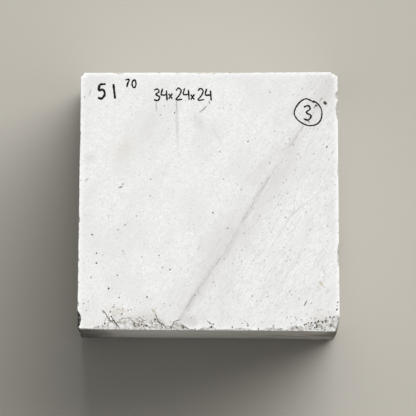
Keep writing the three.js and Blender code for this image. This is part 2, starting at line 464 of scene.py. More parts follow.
def lost_flakes():
    """Every flake listed above but the one whose scar is painted as shade."""
    above = end_flakes(UPPER_FLAKES, UPPER_CORNERS, TOP, UP)
    below = end_flakes(LOWER_FLAKES, LOWER_CORNERS, LOW.z, DOWN)
    return above + below + upright_flakes()


def reach_at(x):
    """How far the spalled edge reaches over the end and down the side at this x."""
    x /= MM
    for (x0, *near), (x1, *far) in zip(SPALL, SPALL[1:]):
        if x <= x1:
            break
    share = min(max((x - x0) / (x1 - x0), 0), 1)
    return [(a + (b - a) * share) * MM for a, b in zip(near, far)]


def front_at(x):
    """Where the front side lies at this x."""
    left, right = corner("front_left", 0), corner("front_right", 0)
    return left.y + (right.y - left.y) * (x - left.x) / (right.x - left.x)


def spalled_edge():
    """A sheet along the front of the upper end, whose underside is the broken surface."""
    long = (HIGH.x - LOW.x) + SPALL_PAST * MM
    bpy.ops.mesh.primitive_grid_add(
        x_subdivisions=round(long / MM / SPALL_STEP), y_subdivisions=round(SPALL_DEEP / SPALL_STEP),
        size=1, location=(0, LOW.y + (SPALL_DEEP / 2 - SPALL_OUT) * MM, TOP),
        scale=(long, SPALL_DEEP * MM, 1),
    )
    sheet = bpy.context.object
    in_place(sheet)
    for v in sheet.data.vertices:
        over, down = reach_at(v.co.x)
        v.co.z += down * ((v.co.y - front_at(v.co.x)) / over - 1)
    roughen(sheet, SPALL_ROUGH)
    bpy.ops.object.mode_set(mode="EDIT")
    bpy.ops.mesh.select_all(action="SELECT")
    bpy.ops.mesh.extrude_region_move(TRANSFORM_OT_translate={"value": (0, 0, SPALL_THICK * MM)})
    bpy.ops.mesh.select_all(action="SELECT")
    bpy.ops.mesh.normals_make_consistent(inside=False)
    bpy.ops.object.mode_set(mode="OBJECT")
    return sheet


def small_chips(chance):
    """Small chips scattered along all twelve edges."""
    edges = []
    for z, out_of_end, longest in ((TOP, UP, CHIP_LONGEST_ABOVE), (LOW.z, DOWN, CHIP_LONGEST)):
        for side in SIDES:
            middle, along, out = end_edge(side, z)
            edges.append((middle, along, (out, out_of_end), END_HALF, longest))
    for name in CORNERS:
        edges.append((corner(name, TOP / 2), UP, corner_outs(name), UPRIGHT_HALF, CHIP_LONGEST))
    lost = []
    for middle, along, outs, half, longest in edges:
        for _ in range(round(2 * half / CHIP_EVERY)):
            long = chance.uniform(CHIP_SHORTEST, longest)
            reaches = (long * chance.uniform(*CHIP_REACH), long * chance.uniform(*CHIP_REACH))
            point = middle + along * chance.uniform(-half, half) * MM
            lost.append(edge_flake(point, along, outs, long, reaches, CHIP_DETAIL))
    return lost


def cut_up(bar, along, across_cuts, steps):
    """Cuts a bar up finely: every edge first, and then those that run along it once more."""
    bpy.ops.object.mode_set(mode="EDIT")
    bpy.ops.mesh.select_mode(type="EDGE")
    bpy.ops.mesh.select_all(action="SELECT")
    bpy.ops.mesh.subdivide(number_cuts=across_cuts)
    bpy.ops.mesh.select_all(action="DESELECT")
    bpy.ops.object.mode_set(mode="OBJECT")
    for edge in bar.data.edges:
        a, b = (bar.data.vertices[i].co for i in edge.vertices)
        edge.select = abs((b - a).normalized().dot(along)) > 0.99
    bpy.ops.object.mode_set(mode="EDIT")
    bpy.ops.mesh.subdivide(number_cuts=steps)
    bpy.ops.mesh.select_mode(type="VERT")
    bpy.ops.object.mode_set(mode="OBJECT")


def edge_bar(start, end, outs, reaches, foot=1.0, across_cuts=WEAR_CUTS):
    """A bar along an edge with its flat towards the stone, which cuts this far into each face at
    its end, and this share of that at its start."""
    outward = sum((out / reach for out, reach in zip(outs, reaches)), Vector())
    depth = MM / outward.length
    outward.normalize()
    start = start + outward * depth * (1 - foot)
    along = (end - start).normalized()
    across = along.cross(outward).normalized()
    outward = across.cross(along)
    wide = max(WEAR_BAR, BAR_THICK * math.hypot(*reaches)) * MM
    long = (end - start).length
    turn = Matrix((along, across, outward)).transposed().to_euler()
    centre = (start + end) / 2 + outward * (wide / 2 - depth)
    bpy.ops.mesh.primitive_cube_add(size=1, location=centre, rotation=turn, scale=(long, wide, wide))
    bar = bpy.context.object
    in_place(bar)
    cut_up(bar, along, across_cuts, round(long / MM / WEAR_STEP / (across_cuts + 1)))
    return bar


def worn_edges():
    """One ragged bar along each of the twelve edges."""
    edges = []
    for side, (a, b) in SIDES.items():
        for z, out_of_end in ((TOP, UP), (LOW.z, DOWN)):
            edges.append((corner(a, z), corner(b, z), (directions(side)[1], out_of_end)))
    for name in CORNERS:
        edges.append((corner(name, LOW.z), corner(name, TOP), corner_outs(name)))
    # Two equal reaches that make a flat as deep as the wear.
    reaches = (WEAR * math.sqrt(2), WEAR * math.sqrt(2))
    bars = []
    for start, end, outs in edges:
        past = (end - start).normalized() * WEAR_BAR * MM
        bars.append(edge_bar(start - past, end + past, outs, reaches))
    return bars


def knocked_edges():
    """One bar along each upright edge that is knocked back."""
    bars = []
    for name, (low, high, first, second, foot) in KNOCKED_EDGES.items():
        start, end = corner(name, low * MM), corner(name, high * MM)
        bars.append(edge_bar(start, end, corner_outs(name), (first, second), foot, KNOCKED_CUTS))
    return bars


def sawn_block(finish):
    """The block as it left the saw."""
    size = HIGH - LOW
    bpy.ops.mesh.primitive_cube_add(size=1, location=(LOW + HIGH) / 2, scale=size)
    stone = bpy.context.object
    stone.name = "block_of_marble"
    in_place(stone)
    for name, (x, y) in CORNERS.items():
        right = 1 if name.endswith("right") else -1
        back = 1 if name.startswith("back") else -1
        bpy.ops.object.mode_set(mode="EDIT")
        bpy.ops.mesh.select_all(action="DESELECT")
        bpy.ops.object.mode_set(mode="OBJECT")
        for v in stone.data.vertices:
            v.select = v.co.x * right > 0 and v.co.y * back > 0
        here = next(v.co.copy() for v in stone.data.vertices if v.select)
        bpy.ops.object.mode_set(mode="EDIT")
        bpy.ops.transform.translate(value=(x - here.x, y - here.y, 0))
        bpy.ops.object.mode_set(mode="OBJECT")
    stone.data.materials.append(finish)
    return stone


def surface_at(stone, x, y):
    """The height of the upper end at a place, scars included."""
    hit, place, *_ = stone.ray_cast(Vector((x, y, TOP + 50 * MM)), DOWN)
    return place.z if hit else TOP


def tube(points, radii):
    """A closed tube through these points, with a radius at each."""
    curve = bpy.data.curves.new("tube", "CURVE")
    curve.dimensions = "3D"
    curve.bevel_depth = 1.0
    curve.bevel_resolution = 1
    curve.use_fill_caps = True
    line = curve.splines.new("POLY")
    line.points.add(len(points) - 1)
    for spot, point, radius in zip(line.points, points, radii):
        spot.co = (*point, 1)
        spot.radius = radius
    piece = bpy.data.objects.new("tube", curve)
    bpy.context.scene.collection.objects.link(piece)
    only(piece)
    bpy.ops.object.convert(target="MESH")
    bpy.ops.object.mode_set(mode="EDIT")
    bpy.ops.mesh.select_all(action="SELECT")
    bpy.ops.mesh.remove_doubles(threshold=0.01 * MM)
    bpy.ops.mesh.normals_make_consistent(inside=False)
    bpy.ops.object.mode_set(mode="OBJECT")
    return bpy.context.object


def smooth(points, steps):
    """A smooth line through these points, with this many steps from each to the next."""
    ends = [points[0], *points, points[-1]]
    line = []
    for before, start, end, after in zip(ends, ends[1:], ends[2:], ends[3:]):
        for i in range(steps):
            t = i / steps
            line.append((2 * start + (end - before) * t
                         + (2 * before - 5 * start + 4 * end - after) * t ** 2
                         + (3 * start - before - 3 * end + after) * t ** 3) / 2)
    return line + [points[-1]]


def pen_lines(chance):
    """The line of every stroke of the pen, and its width."""
    lines = []
    for text, x, y, height, pace, width in WRITING:
        for place, figure in enumerate(text):
            rise = chance.uniform(-PEN_RISE, PEN_RISE)
            for stroke in FIGURES[figure]:
                points = [Vector((x + (u + place * pace) * height, y + (v + rise) * height, 0)) * MM
                          for u, v in stroke]
                lines.append((smooth(points, PEN_STEPS), width))
    ring = [Vector((x, y, 0)) * MM for x, y in RING]
    lines.append((smooth(ring, RING_STEPS), RING_PEN))
    return lines


def pen_marks(chance):
    """Every stroke of the pen, pressed flat on the upper end."""
    strokes = []
    for line, width in pen_lines(chance):
        radii = [width / 2 * chance.uniform(*PEN_WIDTHS) * MM for _ in line]
        radii[0] *= PEN_DOWN
        radii[-1] *= PEN_LIFT
        strokes.append(tube(line, radii))
    ink = joined(strokes)
    ink.name = "pen_marks"
    bpy.ops.object.mode_set(mode="EDIT")
    bpy.ops.mesh.select_all(action="SELECT")
    bpy.ops.transform.resize(value=(1, 1, INK_SQUASH), center_override=(0, 0, 0))
    bpy.ops.transform.translate(value=(0, 0, TOP))
    bpy.ops.object.mode_set(mode="OBJECT")
    ink.data.materials.append(marker_ink())
    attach(ink, "root")


def groove(stone, half_width, line, chance):
    """A ragged tube along one crack, at the height of the broken surface, thin at its two ends."""
    front = (CORNERS["front_left"][1] + CORNERS["front_right"][1]) / 2
    points, radii = [], []
    last = (len(line) - 1) * CRACK_STEPS
    for i in range(last + 1):
        leg = min(i // CRACK_STEPS, len(line) - 2)
        share = i / CRACK_STEPS - leg
        (x0, in0), (x1, in1) = line[leg], line[leg + 1]
        x = (x0 + (x1 - x0) * share + chance.uniform(-CRACK_STRAY, CRACK_STRAY)) * MM
        y = front + (in0 + (in1 - in0) * share + chance.uniform(-CRACK_STRAY, CRACK_STRAY)) * MM
        points.append((x, y, surface_at(stone, x, y)))
        fullness = math.sin(math.pi * (i + 1) / (last + 2)) ** 0.5
        radii.append(half_width * fullness * chance.uniform(*CRACK_WIDTHS) * MM)
    return tube(points, radii)


def cracks(stone, chance):
    """A groove along each crack."""
    return [groove(stone, half_width, line, chance) for half_width, line in CRACKS]


def side_pits(chance):
    """A few small pits scattered over each side."""
    holes = []
    for side in SIDES:
        middle, along, out = end_edge(side, TOP / 2)
        for _ in range(SIDE_PITS):
            place = middle + along * chance.uniform(-SIDE_PITS_ACROSS, SIDE_PITS_ACROSS) * MM
            place += UP * chance.uniform(-SIDE_PITS_UP, SIDE_PITS_UP) * MM
            r = chance.uniform(*SIDE_PIT_RADII) * MM
            sizes = (r * chance.uniform(1, 1.8), r, 0.8 * r)
            holes.append(ball(place + out * PIT_OUT * r, (along, UP, out), sizes, PIT_DETAIL))
    return holes


def pits(stone, chance):
    """Small pits in the upper end, and more of them along its spalled edge."""
    turn = math.radians(PIT_TURN)
    along = Vector((math.cos(turn), math.sin(turn), 0))
    across = Vector((-along.y, along.x, 0))
    places = list(PITS)
    places += [(x, front_at(x * MM) / MM + inward, r) for x, inward, r in EDGE_PITS]
    for _ in range(MORE_EDGE_PITS):
        x = chance.choice([chance.uniform(*stretch) for stretch in PITTED_STRETCHES])
        y = front_at(x * MM) / MM + chance.uniform(*PITTED_IN)
        places.append((x, y, chance.uniform(*PITTED_RADII)))
    holes = []
    for x, y, r in places:
        z = surface_at(stone, x * MM, y * MM)
        sizes = (r * chance.uniform(1, 1.6) * MM, r * 0.85 * MM, r * MM)
        centre = Vector((x * MM, y * MM, z + PIT_OUT * r * MM))
        holes.append(ball(centre, (along, across, UP), sizes, PIT_DETAIL))
    return holes


# ---------------------------------------------------------------------------------------------
# Materials.


def srgb(code):
    """A hex colour as linear light."""
    parts = [int(code[i:i + 2], 16) / 255 for i in (1, 3, 5)]
    return (*(p / 12.92 if p <= 0.04045 else ((p + 0.055) / 1.055) ** 2.4 for p in parts), 1)


def add(tree, kind, inputs=None, **settings):
    """Adds a node with these settings, and sets or links its inputs."""
    node = tree.nodes.new(kind)
    for name, value in settings.items():
        setattr(node, name, value)
    for name, value in (inputs or {}).items():
        if isinstance(value, bpy.types.NodeSocket):
            tree.links.new(value, node.inputs[name])
        else:
            node.inputs[name].default_value = value
    return node


def material(name):
    """A bare material: its node tree, its shader and its object coordinates."""
    made = bpy.data.materials.new(name)
    made.use_nodes = True
    tree = made.node_tree
    tree.nodes.clear()
    shader = add(tree, "ShaderNodeBsdfPrincipled")
    add(tree, "ShaderNodeOutputMaterial", {"Surface": shader.outputs["BSDF"]})
    place = add(tree, "ShaderNodeTexCoord").outputs["Object"]
    return made, tree, shader, place


def laid_over(tree, colour, paint, *factors):
    """Lays a paint over a colour, as thickly as these factors multiply to."""
    amount, *others = factors
    for factor in others:
        amount = add(tree, "ShaderNodeMath", {0: amount, 1: factor}, operation="MULTIPLY").outputs[0]
    return add(tree, "ShaderNodeMix", {0: amount, 6: colour, 7: srgb(paint)},
               data_type="RGBA").outputs[2]


def dress(shader, colour, roughness, height=None, strength=0.0, distance=0.0):
    """Gives a shader its colour, its roughness and, where it has one, its relief in millimetres."""
    tree = shader.id_data
    tree.links.new(colour, shader.inputs["Base Color"])
    shader.inputs["Roughness"].default_value = roughness
    if height:
        bump = add(tree, "ShaderNodeBump", {"Height": height, "Strength": strength,
                   "Distance": distance * MM})
        tree.links.new(bump.outputs[0], shader.inputs["Normal"])


# The veins lie in parallel planes. These are the direction of their line on the upper end, how far
# they lean from upright, and a place that the main one runs through.
STRIKE = math.radians(57.5)
LEAN = math.radians(24)
ALONG = Vector((math.cos(STRIKE), math.sin(STRIKE), 0))
ACROSS = Vector((math.sin(STRIKE) * math.cos(LEAN), -math.cos(STRIKE) * math.cos(LEAN), math.sin(LEAN)))
VEIN_TURN = Matrix((ACROSS, ALONG, ACROSS.cross(ALONG))).transposed().to_euler()
VEIN_AT = Vector((34.5 * MM, -12 * MM, TOP))
# They bend to and fro within this distance, over a length of about this many millimetres.
BEND = 6
BEND_LENGTH = 70
# How far across from the main vein the others lie, in millimetres. They come out on the sides.
SIDE_VEINS = (-207, -243, -289)
# The layers of a vein, and how far each reaches to either side of it, in millimetres.
VEIN_LAYERS = (("line", 0.75), ("seam", 3.2), ("band", 7.0), ("halo", 26.0))
# The main vein fades towards the back of the upper end, between these places along it, down to this
# share of its strength.
VEIN_FADES = (92, 122)
VEIN_FAINTEST = 0.15
# What comes and goes along the bedding, as (name, sizes across it, along it and down it in
# millimetres, noise at which it starts, noise at which it is full, least of it).
PATCHES = (
    ("line", (1.6, 9, 8), 0.43, 0.67, 0.06),
    ("seam", (0.9, 3.4, 3), 0.42, 0.66, 0.1),
    ("part", (60, 26, 24), 0.40, 0.60, 0.25),
    ("band", (2.2, 30, 26), 0.38, 0.66, 0.15),
    ("halo", (16, 60, 50), 0.34, 0.62, 0.1),
    ("streak", (2.8, 26, 24), 0.47, 0.72, 0),
    ("fine", (0.9, 7, 6), 0.53, 0.70, 0),
    ("cloud", (24, 46, 40), 0.42, 0.64, 0),
)
# The streaks keep to one side of the main vein near the upper end, and spread across it lower down.
# These are the depths at which they start to spread and have spread, how far they spread, between
# which places across it their border lies, all in millimetres, and the least of them past it.
SPREAD_DEPTHS = (10, 120)
SPREAD = -70
SPREAD_BORDER = (-40, 6)
SPREAD_LEAST = 0.3
# Dark specks, one point to each cell, as (name, sizes of a cell across the veins, along them and down
# them in millimetres, share of it that is dark all over, share at which the dark is gone).
SPECKS = (
    ("speck", (7.5, 9.5, 9), 0.05, 0.12), ("mote", (3.3, 4.4, 4.2), 0.06, 0.19),
    ("dash", (2.6, 6.6, 4.4), 0.07, 0.23),
)
# The marble's crystals, in millimetres. Real ones are about half as wide, and wouldn't show. Those
# above these shares of all their shades catch the light, partly and wholly.
CRYSTAL = 1.0
BRIGHT = (0.94, 0.98)
# What is laid over the plain stone, in this order, as (name, colour, strength).
STONE = "#f4f4f2"
COATS = (
    ("crystal", "#d3d3d2", 0.5), ("sparkle", "#ffffff", 0.7), ("cloud", "#e2e1df", 0.5),
    ("halo", "#d8d6d4", 0.75), ("streak", "#dcdbd9", 0.52), ("band", "#d2d0ce", 0.7),
    ("fine", "#d0cecb", 0.6), ("seam", "#bcb7b2", 0.55), ("line", "#9c938c", 0.72),
    ("dash", "#97938b", 0.9), ("mote", "#8f8c84", 0.5), ("speck", "#625f57", 0.9),
)


def bent(tree, place):
    """Places in the stone, shifted a few millimetres to and fro so that the veins bend."""
    wander = add(tree, "ShaderNodeTexNoise", {"Vector": place, "Scale": 1 / (BEND_LENGTH * MM),
                 "Detail": 3})
    shift = add(tree, "ShaderNodeVectorMath", {0: wander.outputs["Color"], 1: (0.5, 0.5, 0.5)},
                operation="SUBTRACT")
    shift = add(tree, "ShaderNodeVectorMath", {0: shift.outputs[0], "Scale": BEND * MM},
                operation="SCALE")
    return add(tree, "ShaderNodeVectorMath", {0: place, 1: shift.outputs[0]},
               operation="SUBTRACT").outputs[0]


def vein_layers(tree, across, along):
    """How much of each layer of a vein there is, by the distance from the nearest vein, and how the
    main vein fades."""
    off = add(tree, "ShaderNodeMath", {0: across}, operation="ABSOLUTE").outputs[0]
    for vein in SIDE_VEINS:
        other = add(tree, "ShaderNodeMath", {0: across, 1: vein}, operation="SUBTRACT").outputs[0]
        other = add(tree, "ShaderNodeMath", {0: other}, operation="ABSOLUTE").outputs[0]
        off = add(tree, "ShaderNodeMath", {0: off, 1: other}, operation="MINIMUM").outputs[0]
    layers = {}
    for name, half_width in VEIN_LAYERS:
        layers[name] = add(tree, "ShaderNodeMapRange", {"Value": off, "From Max": half_width,
                           "To Min": 1, "To Max": 0}, interpolation_type="SMOOTHSTEP").outputs[0]
    start, end = VEIN_FADES
    layers["fading"] = add(tree, "ShaderNodeMapRange", {"Value": along, "From Min": start,
                           "From Max": end, "To Min": 1, "To Max": VEIN_FAINTEST},
                           interpolation_type="SMOOTHSTEP").outputs[0]
    return layers


def bedded_patches(tree, moved):
    """The noises that the layers come and go by, drawn out along the veins."""
    patches = {}
    for name, sizes, low, high, least in PATCHES:
        stretched = add(tree, "ShaderNodeMapping", {"Vector": moved, "Rotation": VEIN_TURN,
                        "Scale": [size * MM for size in sizes]}, vector_type="TEXTURE")
        noise = add(tree, "ShaderNodeTexNoise", {"Vector": stretched.outputs[0], "Scale": 1,
                    "Detail": 3})
        patches[name] = add(tree, "ShaderNodeMapRange", {"Value": noise.outputs[0],
                            "From Min": low, "From Max": high, "To Min": least},
                            interpolation_type="SMOOTHSTEP").outputs[0]
    return patches


def streaked_side(tree, place, across):
    """One on the side of the main vein that has the streaks, and less past their border."""
    height = add(tree, "ShaderNodeSeparateXYZ", {0: place}).outputs["Z"]
    starts, spread = SPREAD_DEPTHS
    lower = add(tree, "ShaderNodeMapRange", {"Value": height, "From Min": TOP - spread * MM,
                "From Max": TOP - starts * MM, "To Min": SPREAD, "To Max": 0},
                interpolation_type="SMOOTHSTEP")
    inside = add(tree, "ShaderNodeMath", {0: across, 1: lower.outputs[0]}, operation="SUBTRACT")
    outer, inner = SPREAD_BORDER
    return add(tree, "ShaderNodeMapRange", {"Value": inside.outputs[0], "From Min": outer,
               "From Max": inner, "To Min": SPREAD_LEAST, "To Max": 1},
               interpolation_type="SMOOTHSTEP").outputs[0]


def crystals(tree, place):
    """Each crystal's own shade, and the few that catch the light."""
    crystal = add(tree, "ShaderNodeTexVoronoi", {"Vector": place, "Scale": 1 / (CRYSTAL * MM)})
    shade = add(tree, "ShaderNodeSeparateColor", {0: crystal.outputs["Color"]}).outputs
    partly, wholly = BRIGHT
    bright = add(tree, "ShaderNodeMapRange", {"Value": shade[1], "From Min": partly,
                 "From Max": wholly}).outputs[0]
    return shade[0], bright


def specks(tree, place):
    """Dark points, one in each cell, drawn where the cut passes close to it."""
    points = {}
    for name, sizes, solid, gone in SPECKS:
        cells = add(tree, "ShaderNodeMapping", {"Vector": place, "Rotation": VEIN_TURN,
                    "Scale": [size * MM for size in sizes]}, vector_type="TEXTURE")
        cell = add(tree, "ShaderNodeTexVoronoi", {"Vector": cells.outputs[0], "Scale": 1})
        near = add(tree, "ShaderNodeMapRange", {"Value": cell.outputs["Distance"],
                   "From Min": solid, "From Max": gone, "To Min": 1, "To Max": 0},
                   interpolation_type="SMOOTHSTEP")
        chosen = add(tree, "ShaderNodeSeparateColor", {0: cell.outputs["Color"]}).outputs[0]
        points[name] = add(tree, "ShaderNodeMath", {0: near.outputs[0], 1: chosen},
                           operation="MULTIPLY").outputs[0]
    return points


def marble_colour(tree, place):
    """White marble's colour: near white, with one main vein, fainter streaks along it, clouds and
    dark specks."""
    moved = bent(tree, place)
    # Across the veins and along them in millimetres, counted from a place on the main one.
    bedded = add(tree, "ShaderNodeMapping", {"Vector": moved, "Location": VEIN_AT,
                 "Rotation": VEIN_TURN, "Scale": (MM, MM, MM)}, vector_type="TEXTURE")
    across, along, _ = add(tree, "ShaderNodeSeparateXYZ", {0: bedded.outputs[0]}).outputs
    vein = vein_layers(tree, across, along)
    patch = bedded_patches(tree, moved)
    streaked = streaked_side(tree, place, across)
    crystal, bright = crystals(tree, place)
    point = specks(tree, place)
    factors = {
        "crystal": [crystal],
        "sparkle": [bright],
        "cloud": [patch["cloud"]],
        "halo": [patch["halo"], vein["halo"]],
        "streak": [patch["streak"], streaked],
        "band": [patch["band"], vein["band"], vein["fading"]],
        "fine": [patch["fine"], streaked],
        "seam": [patch["seam"], patch["part"], vein["seam"], vein["fading"]],
        "line": [patch["line"], patch["part"], vein["line"], vein["fading"]],
        "dash": [point["dash"], streaked],
        "mote": [point["mote"]],
        "speck": [point["speck"]],
    }
    colour = srgb(STONE)
    for name, paint, strength in COATS:
        colour = laid_over(tree, colour, paint, strength, *factors[name])
    return colour


# Stains and marks in the upper end, as (x, y, half length, half width, turn in degrees, colour).
STAINS = [
    (105, -63, 6.0, 0.9, -68, "#d3cfc3"),
    (102.5, -74.5, 4.2, 1.8, -53, "#cbc5b4"),
    (-4.0, 85, 5.6, 0.9, 43, "#96928a"),
    (0.9, 90.6, 2.6, 1.0, -70, "#aaa69d"),
    (-7.6, 81.9, 0.9, 0.8, 0, "#57524a"),
    (-28.9, 88, 8, 0.8, -88, "#b9b8b5"),
    (-47.5, 87, 7, 1.1, -87, "#c3c2bf"),
    (-66, 95, 4.5, 0.5, -62, "#d6d5d2"),
    (88.5, -92.5, 4.2, 0.8, 64, "#6f6b63"),
    (81, -8, 9, 0.6, 41, "#bdbab5"),
    (92, 1, 44, 0.5, 38.5, "#dbd9d6"),
    (106.4, 90, 2.7, 2.1, -35, "#38291f"),
    (98.1, 87.6, 1.9, 1.5, 0, "#463329"),
    (102.5, 93.4, 3.0, 0.8, 56, "#b5a79c"),
    (96.8, 86.4, 1.9, 0.8, 45, "#a8988d"),
    (91, 73.6, 2.8, 1.2, -65, "#a2948a"),
    (87.9, 75.4, 1.4, 0.8, 70, "#c2b9b0"),
    (-108, 99.5, 5.0, 0.8, 75, "#bdbcb7"),
    (-80.2, 13.2, 2.6, 1.0, 20, "#8f8b82"),
    (-77.8, 15.9, 1.7, 0.9, 50, "#a5a198"),
    (-116.6, 19.4, 1.6, 1.1, 0, "#5f5a50"),
    (-110.8, 20.4, 2.4, 0.8, 20, "#b5b1a8"),
    (-50, -99.5, 4, 1.6, -40, "#c4bdb0"),
    (-80.5, -98.6, 6.5, 0.8, -18, "#cdc6b8"),
    (-85.5, -104.5, 4.5, 0.8, -55, "#bdb5a6"),
    (-71.5, -105.8, 6, 0.8, 10, "#c6bfb1"),
    (-47.8, -104, 3.4, 1.2, -70, "#b9b1a2"),
    (-95.8, -100.2, 2.6, 1.4, -50, "#aca69b"),
]
# Broad faint smudges, written the same way.
SMUDGES = [
    (-9.5, 73, 16, 8, -55, "#cfcdc8"),
    (-54, 70, 30, 10, 62, "#d8d7d3"),
    (8, 60, 18, 4, -62, "#d3d1cd"),
    (-28.7, 72, 36, 2.6, -88, "#b4b3b0"),
    (-76, 48, 18, 13, 70, "#d9d5c6"),
    (-108, 40, 13, 8, 20, "#cdccc8"),
    (-83, -101, 17, 9, -20, "#bfb8a8"),
    (-55, -106, 22, 9, -12, "#c2bcae"),
    (-16, -108, 12, 8, 0, "#bdbab4"),
    (-108, -113.5, 14, 6, 0, "#cbc6b6"),
    (102, -108, 20, 11, 18, "#c3c0b9"),
]
# How a stain and a smudge lie: the noise at which they are full, and their strength there.
STAIN = (0.3, 1.0)
SMUDGE = (0.5, 0.42)
# How deep into the stone they go, and how wide the patches in them are, in millimetres.
STAIN_DEEP = 12
STAIN_PATCH = 2.2
# How far in from an edge the stone is painted white, at most, partly as the bruise that the saw and
# knocks left and partly as painted highlight along the edge, and how wide the ragged bits of its border
# are.
BRUISE_AND_HIGHLIGHT = 8
BRUISE_AND_HIGHLIGHT_RAGGED = 3.5
# Yard grime: its noises, as (name, sizes in millimetres, detail), and its coats, as (name of the
# noise, colour, noise at which it starts, noise at which it is full, most of it).
GRIME_NOISES = (
    ("splash", (11, 11, 13), 8), ("runs", (6, 6, 120), 4), ("film", (60, 60, 110), 6),
    ("rust", (30, 30, 44), 6),
)
GRIME_COATS = (
    ("splash", "#9b958a", -0.05, 0.52, 0.7), ("film", "#c9c6bf", 0.44, 0.68, 0.27),
    ("runs", "#b4afa6", 0.58, 0.80, 0.22), ("rust", "#c8b795", 0.63, 0.78, 0.3),
)
# The splashes lose all of their noise in this height, in millimetres.
SPLASHED = 60
# Grime and painted shade beside an upright edge, darkest beside the front's two, as (edge, how far
# along the side it reaches in millimetres, how fast it fades, how thick it is, colour), and how far it
# reaches into the stone and up and down.
EDGE_GRIME_AND_SHADE = (
    ("front_right", 170, 1.0, 0.85, "#8d867c"), ("front_left", 110, 1.0, 0.42, "#8d867c"),
    ("front_left", 56, 2.0, 0.75, "#6d675f"), ("front_left", 32, 0.6, 1.15, "#423b34"),
    ("front_right", 15, 0.7, 1.15, "#544d45"), ("back_left", 16, 1.0, 0.6, "#8a857d"),
)
EDGE_GRIME_AND_SHADE_DEEP = 17
EDGE_GRIME_AND_SHADE_TALL = 600
# Its border wanders to and fro within this distance, in millimetres.
EDGE_GRIME_AND_SHADE_WANDER = 90
# What the saw left, as (sizes of its noise in millimetres, strength): fine level lines, broad waves
# where the saw wandered, and the stone's own grain.
SAW_MARKS = (((700, 700, 1.6), 1.0), ((900, 900, 12), 4.0), ((0.9, 0.9, 0.9), 1.0))
# How far below the upper end grime starts on a sawn side and on a broken edge, in millimetres.
CLEAN_SAWN = 1.5
CLEAN_BROKEN = 5


def stains_over(tree, place, colour, stains, full, strength):
    """Lays each stain over the colour, patchy inside and soft at its edge."""
    patch = add(tree, "ShaderNodeTexNoise", {"Vector": place, "Scale": 1 / (STAIN_PATCH * MM),
                "Detail": 2})
    for x, y, half_long, half_wide, turn, paint in stains:
        spot = add(tree, "ShaderNodeMapping", {
            "Vector": place, "Location": (x * MM, y * MM, TOP), "Rotation": (0, 0, math.radians(turn)),
            "Scale": (half_long * MM, half_wide * MM, STAIN_DEEP * MM)}, vector_type="TEXTURE")
        near = add(tree, "ShaderNodeTexGradient", {"Vector": spot.outputs[0]},
                   gradient_type="SPHERICAL")
        worn = add(tree, "ShaderNodeMath", {0: near.outputs[1], 1: patch.outputs[0]},
                   operation="MULTIPLY")
        amount = add(tree, "ShaderNodeMapRange", {"Value": worn.outputs[0], "From Min": 0.02,
                     "From Max": full, "To Max": strength}, interpolation_type="SMOOTHSTEP")
        colour = laid_over(tree, colour, paint, amount.outputs[0])
    return colour


def bruise_and_highlight(tree, place):
    """How much painted highlight, partly bruise, each place gets: one along every edge of the block, and
    nought in from it.
    """
    ragged = add(tree, "ShaderNodeTexNoise", {"Vector": place, "Scale": 1 / (BRUISE_AND_HIGHLIGHT_RAGGED * MM),
                 "Detail": 3})
    reach = add(tree, "ShaderNodeMapRange", {"Value": ragged.outputs[0], "From Min": 0.3,
                "From Max": 0.7, "To Min": 0.5 * BRUISE_AND_HIGHLIGHT * MM, "To Max": BRUISE_AND_HIGHLIGHT * MM}).outputs[0]
    faces = [(directions(side)[1], corner(SIDES[side][0], 0)) for side in SIDES]
    faces += [(UP, Vector((0, 0, TOP))), (DOWN, Vector((0, 0, LOW.z)))]
    # Each face counts for one where the surface lies in it, so only edges come out above nought.
    near = -1.0
    for out, point in faces:
        height = add(tree, "ShaderNodeVectorMath", {0: place, 1: out}, operation="DOT_PRODUCT")
        depth = add(tree, "ShaderNodeMath", {0: out.dot(point), 1: height.outputs["Value"]},
                    operation="SUBTRACT").outputs[0]
        close = add(tree, "ShaderNodeMapRange", {"Value": depth, "From Max": reach, "To Min": 1,
                    "To Max": 0})
        near = add(tree, "ShaderNodeMath", {0: close.outputs[0], 1: near}).outputs[0]
    inside = add(tree, "ShaderNodeClamp", {"Value": near}).outputs[0]
    return add(tree, "ShaderNodeMath", {0: inside, 1: 2.0}, operation="POWER").outputs[0]


def grime_noises(tree, place):
    """The noise nodes that the grime comes and goes by."""
    noises = {}
    for name, sizes, detail in GRIME_NOISES:
        stretched = add(tree, "ShaderNodeMapping", {"Vector": place,
                        "Scale": [size * MM for size in sizes]}, vector_type="TEXTURE")
        noises[name] = add(tree, "ShaderNodeTexNoise", {"Vector": stretched.outputs[0], "Scale": 1,
                           "Detail": detail, "Roughness": 0.62})
    return noises


def edge_grime_and_shade(tree, place, colour, side, blotches):
    """Lays grime and painted shade along the upright edges, blotchy and with a border that wanders to
    and fro.
    """
    # From half as thick to one and a quarter times.
    thick = add(tree, "ShaderNodeMapRange", {"Value": blotches.outputs[0], "From Min": 0.34,
                "From Max": 0.62, "To Min": 0.5, "To Max": 1.25}).outputs[0]
    shift = add(tree, "ShaderNodeVectorMath", {0: blotches.outputs["Color"], 1: (0.5, 0.5, 0.5)},
                operation="SUBTRACT")
    shift = add(tree, "ShaderNodeVectorMath", {0: shift.outputs[0],
                1: (EDGE_GRIME_AND_SHADE_WANDER * MM, 0, 0)}, operation="MULTIPLY")
    drifted = add(tree, "ShaderNodeVectorMath", {0: place, 1: shift.outputs[0]}).outputs[0]
    for name, reach, fading, most, paint in EDGE_GRIME_AND_SHADE:
        spot = add(tree, "ShaderNodeMapping", {
            "Vector": drifted, "Location": corner(name, TOP / 2),
            "Scale": (reach * MM, EDGE_GRIME_AND_SHADE_DEEP * MM, EDGE_GRIME_AND_SHADE_TALL * MM)}, vector_type="TEXTURE")
        near = add(tree, "ShaderNodeTexGradient", {"Vector": spot.outputs[0]},
                   gradient_type="SPHERICAL")
        faded = add(tree, "ShaderNodeMath", {0: near.outputs[1], 1: fading},
                    operation="POWER").outputs[0]
        colour = laid_over(tree, colour, paint, faded, most, thick, side)
    return colour


